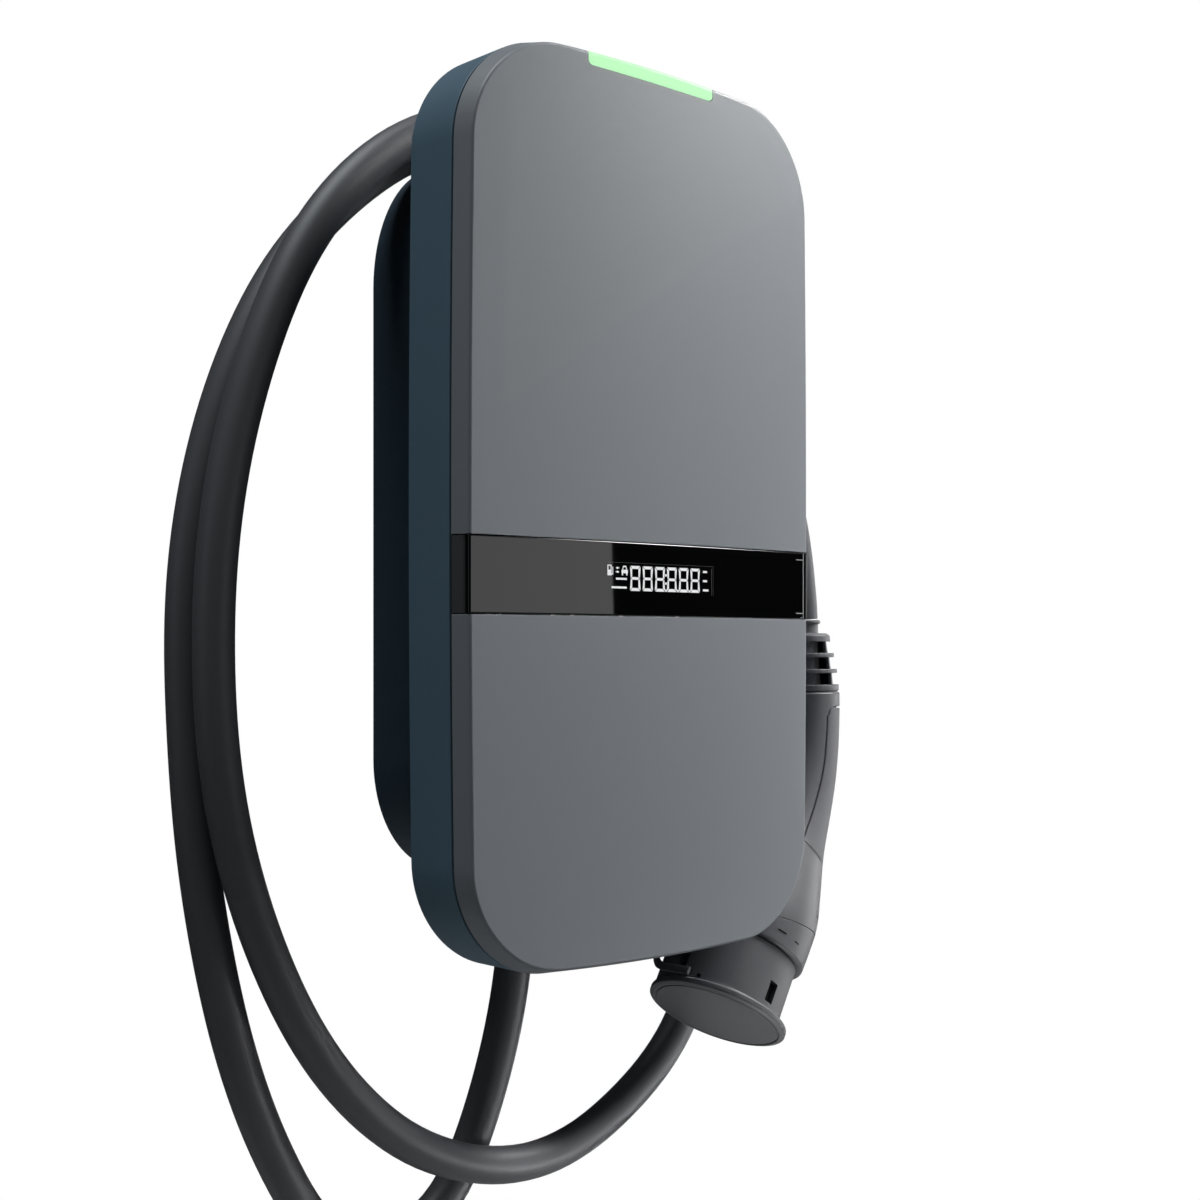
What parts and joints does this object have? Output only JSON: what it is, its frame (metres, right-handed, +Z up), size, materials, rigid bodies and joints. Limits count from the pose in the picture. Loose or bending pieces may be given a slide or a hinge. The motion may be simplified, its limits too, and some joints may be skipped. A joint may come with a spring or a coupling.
{
  "type": "wall mounted ev charging station",
  "caption": "Wall-mounted EV charger with bowed front covers, display band, status light and tethered Type 2 lead wound round its back box",
  "frame": {"origin": "centre of the wall bracket's rear face, in the plane of the wall", "axes": "+X to the right seen from the front, +Y into the wall, +Z up"},
  "size_m": [0.3816, 0.1233, 0.5388],
  "materials": {
    "cover_paint": "satin blue-grey finish",
    "housing_plastic": "fine-grained dark blue-grey",
    "back_box_plastic": "fine-grained near-black",
    "band_black": "black",
    "window_black": "gloss black window",
    "light_lens": "diffusing lens lit pale green",
    "seal_rubber": "black seal",
    "circuit_board": "green solder mask",
    "zinc_steel": "zinc plated",
    "module_grey": "light grey moulding",
    "module_dark": "dark grey moulding",
    "cable_rubber": "matt black sheath",
    "cap_rubber": "soft black moulding",
    "connector_plastic": "fine-grained dark grey",
    "grip_rubber": "soft dark grey overmould",
    "contact_silver": "silver plated contact"
  },
  "bodies": {
    "root": {"wall_bracket": "zinc_steel", "wall_screw_1": "zinc_steel", "wall_screw_2": "zinc_steel", "wall_screw_3": "zinc_steel", "wall_screw_4": "zinc_steel", "back_box": "back_box_plastic", "main_housing": "housing_plastic", "cover_seal": "seal_rubber", "band_carrier": "band_black", "band_window": "window_black", "lcd_module": "window_black", "display_board": "circuit_board", "light_board": "circuit_board", "control_board": "circuit_board", "board_standoff_1": "zinc_steel", "board_standoff_2": "zinc_steel", "board_standoff_3": "zinc_steel", "board_standoff_4": "zinc_steel", "rfid_antenna_board": "circuit_board", "radio_module": "zinc_steel", "power_relay": "module_dark", "din_rail": "zinc_steel", "energy_meter": "module_grey", "contactor": "module_dark", "fault_current_monitor": "module_grey", "power_supply": "module_dark", "terminal_block": "module_grey", "cord_clamp": "zinc_steel", "cable_gland": "module_dark", "gland_cap_nut": "module_dark", "gland_lock_nut": "module_dark", "blanking_plug": "module_dark", "supply_gland_nut": "module_dark", "cover_screw_1": "zinc_steel", "cover_screw_2": "zinc_steel", "cover_screw_3": "zinc_steel", "cover_screw_4": "zinc_steel", "connector_collar": "connector_plastic", "connector_shroud": "connector_plastic", "contact_insert": "connector_plastic", "contact_earth": "contact_silver", "contact_line_1": "contact_silver", "contact_line_2": "contact_silver", "contact_line_3": "contact_silver", "contact_neutral": "contact_silver", "contact_pilot": "contact_silver", "contact_proximity": "contact_silver", "connector_handle": "connector_plastic", "grip_inlay": "grip_rubber", "strain_relief": "connector_plastic", "plug_holder": "module_dark", "charging_cable": "cable_rubber"},
    "upper_cover_body": {"upper_cover": "cover_paint", "status_light_lens": "light_lens"},
    "lower_cover_body": {"lower_cover": "cover_paint"},
    "dust_cap_body": {"dust_cap": "cap_rubber", "cap_strap": "cap_rubber"}
  },
  "joints": [
    {"name": "upper_cover_slide", "type": "slide", "parent": "root", "child": "upper_cover_body", "axis": [0, -1, 0], "range_m": [0, 0.06]},
    {"name": "lower_cover_slide", "type": "slide", "parent": "root", "child": "lower_cover_body", "axis": [0, -1, 0], "range_m": [0, 0.06]},
    {"name": "dust_cap_slide", "type": "slide", "parent": "root", "child": "dust_cap_body", "axis": [-0.5761, -0.113, -0.8095], "range_m": [0, 0.05]}
  ]
}
